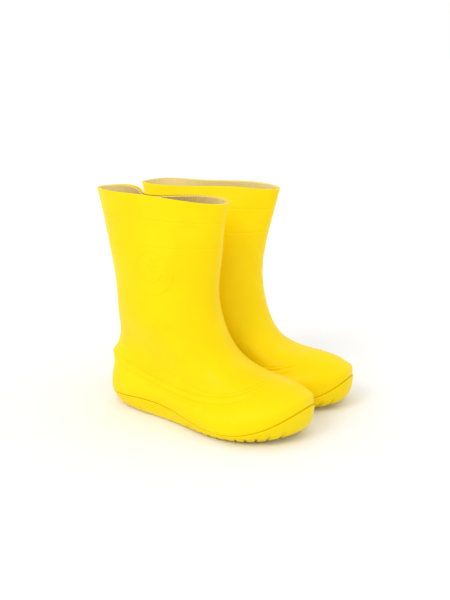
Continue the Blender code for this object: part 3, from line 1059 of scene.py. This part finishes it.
@dataclass
class Layer:
    """A shape that lies on the boot's floor and fills its outline, with rounded edges."""

    side: Side
    skin: Skin
    place: Place
    name: str
    bottom: float
    thickness: float
    ease: float = 0.0
    corner: float = 0.25 * MM
    channel: float = 0.0  # depth of the stitched channel along its edge
    dish: float = 0.0  # how deep the heel and the ball have worn in
    channel_at: float = 0.10  # how far in the channel runs, as a share of the way to the middle
    channel_width: float = 0.02
    worn_at: tuple[float, float] = (0.16, 0.70)  # shares of the way from heel to toe
    worn_length: float = 0.14

    def build(self, material: bpy.types.Material) -> bpy.types.Object:
        """Model the layer.

        Args:
            material: What it is made of.

        Returns:
            The closed piece.
        """
        angles = mirrored(np.linspace(0, pi, 121))
        depth = float(inner_depth(np.zeros(1))[0]) + GAP + LINING_THICKNESS + GAP
        edge = self.skin.layer_edge(angles, depth, self.bottom, self.ease)
        middle = (edge + edge[::-1]) / 2
        inward = middle - edge
        reach = np.maximum(np.linalg.norm(inward, axis=1, keepdims=True), 0.1 * MM)
        inward = inward / reach

        def at(step: float, height: float) -> Array:
            """The edge moved inwards and up."""
            moved = edge + inward * np.minimum(step, reach)
            moved[:, 2] += height
            return moved

        turn = np.linspace(0, pi / 2, 4)
        r, t = self.corner, self.thickness
        side_rows = [at(r * (1 - sin(a)), r * (1 - cos(a))) for a in turn]
        side_rows += [at(r * (1 - cos(a)), t - r * (1 - sin(a))) for a in turn]
        lower = cap_rows(side_rows[0], np.linspace(1, 0, 8)[:-1])
        # The first rows lie close together, about the channel
        shares = np.array([0.04, 0.07, 0.085, 0.10, 0.115, 0.13, 0.16, *np.linspace(0.2, 1, 22)])
        upper = cap_rows(side_rows[-1], shares)
        upper[..., 2] -= self.channel * hump(shares, self.channel_at, self.channel_width)[:, None]
        along = along_of(angles)[None, :]
        worn = sum(hump(along, at, self.worn_length) for at in self.worn_at)
        upper[..., 2] -= self.dish * worn * smooth_step(shares, 0.1, 0.7)[:, None]
        rows = np.concatenate([lower, np.array(side_rows), upper])
        return wrap(f"{self.side.label}_{self.name}", self.place.to_world(rows), material)


@dataclass
class Boot:
    """One boot: its six pieces, on their bodies."""

    side: Side
    frame: dict
    finishes: Finishes
    skin: Skin = field(init=False)
    place: Place = field(init=False)

    def __post_init__(self) -> None:
        """Work out the boot's skin and where it stands."""
        self.skin = Skin(self.side)
        self.place = Place.from_frame(self.side, self.frame, self.skin)

    def settle(self, piece: bpy.types.Object, body: str, node: str) -> bpy.types.Object:
        """Put a piece on its body, in place of its solid."""
        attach(piece, f"{self.side.label}_{body}")
        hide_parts(f"{self.side.label}_{node}")
        LOG.info("%s: %d faces", piece.name, len(piece.data.polygons))
        return piece

    def build(self) -> None:
        here, finishes = (self.side, self.skin, self.place), self.finishes
        upper = self.settle(Upper(*here).build(finishes.upper), "boot", "upper")
        self.settle(Outsole(*here).build(finishes.sole), "boot", "outsole")
        lining = self.settle(Lining(*here).build(finishes.knit), "boot", "lining")

        bottom = UPPER_FLOOR + GAP
        board = Layer(*here, "stitched_lining_sole", bottom, LINING_SOLE_THICKNESS)
        board = self.settle(board.build(finishes.board), "boot", "lining_sole")

        bottom += LINING_SOLE_THICKNESS + GAP
        foam = Layer(*here, "foam_insole", bottom, INSOLE_THICKNESS, INSOLE_EASE, 1.0 * MM, dish=0.6 * MM)
        foam = self.settle(foam.build(finishes.foam), "footbed", "insole")

        bottom += INSOLE_THICKNESS + GAP
        cover = Layer(
            *here, "textile_insole_cover", bottom, COVER_THICKNESS, INSOLE_EASE, 0.3 * MM, 0.25 * MM, 0.6 * MM
        )
        cover = self.settle(cover.build(finishes.textile), "footbed", "insole_cover")


@dataclass
class Studio:
    """A plain pale floor, soft light and the camera."""

    azimuth: float = radians(-59.65)
    elevation: float = radians(14.85)
    distance: float = 0.862
    lens: float = 55.26
    shift: tuple[float, float] = (-0.0055, 0.0017)
    aim: tuple[float, float, float] = (0.0, -7.7 * MM, 100 * MM)
    key_turn: float = radians(-100)
    key_lift: float = radians(42)
    key_power: float = 0.7
    key_width: float = radians(25)

    def build(self) -> None:
        """Set the floor, the lights and the camera."""
        bpy.context.scene.view_settings.view_transform = "Standard"
        self.add_floor()
        self.add_lights()
        self.add_camera()

    def add_floor(self) -> None:
        """A wide floor of matt white board."""
        bpy.ops.object.select_all(action="DESELECT")
        bpy.ops.mesh.primitive_plane_add(size=200)
        floor = bpy.context.object
        floor.name = "floor"
        material, tree, shader = start_material("matt_white_board")
        where = place_on(tree)
        cloud = ramp(tree, noise(tree, where, 0.4), 0.3, 0.7, 0.0, 1.0)
        tree.links.new(mix(tree, cloud, colour("#F9F9F9"), colour("#F7F7F8")), shader.inputs["Base Color"])
        shader.inputs["Roughness"].default_value = 0.9
        floor.data.materials.append(material)

    def add_lights(self) -> None:
        """A bright white room, and a wide soft key from the camera's upper left."""
        world = bpy.data.worlds.new("studio")
        world.use_nodes = True
        backdrop = world.node_tree.nodes["Background"]
        backdrop.inputs["Color"].default_value = (1, 1, 1, 1)
        backdrop.inputs["Strength"].default_value = 1.0
        bpy.context.scene.world = world
        bpy.ops.object.light_add(type="SUN", location=self.orbit(self.key_turn, self.key_lift, 1.6))
        light = bpy.context.object
        light.name = "key"
        light.data.energy, light.data.angle = self.key_power, self.key_width
        light.rotation_euler = (Vector(self.aim) - light.location).to_track_quat("-Z", "Y").to_euler()

    def orbit(self, azimuth: float, elevation: float, distance: float) -> Vector:
        """A point seen from the aim at an azimuth, an elevation and a distance."""
        level = cos(elevation)
        way = Vector((sin(azimuth) * level, -cos(azimuth) * level, sin(elevation)))
        return Vector(self.aim) + way * distance

    def add_camera(self) -> None:
        """The camera, behind the outer side of the right boot."""
        bpy.ops.object.camera_add(location=self.orbit(self.azimuth, self.elevation, self.distance))
        camera = bpy.context.object
        camera.rotation_euler = (Vector(self.aim) - camera.location).to_track_quat("-Z", "Y").to_euler()
        camera.data.lens = self.lens
        camera.data.shift_x, camera.data.shift_y = self.shift
        bpy.context.scene.camera = camera


def main() -> None:
    """Load the frame, build the pair and its studio, and note the sizes."""
    logging.basicConfig(level=logging.INFO, format="%(name)s: %(message)s")
    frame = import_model()
    finishes = Finishes.make()
    for side in Side:
        Boot(side, frame, finishes).build()
    Studio().build()


if __name__ == "__main__":
    main()
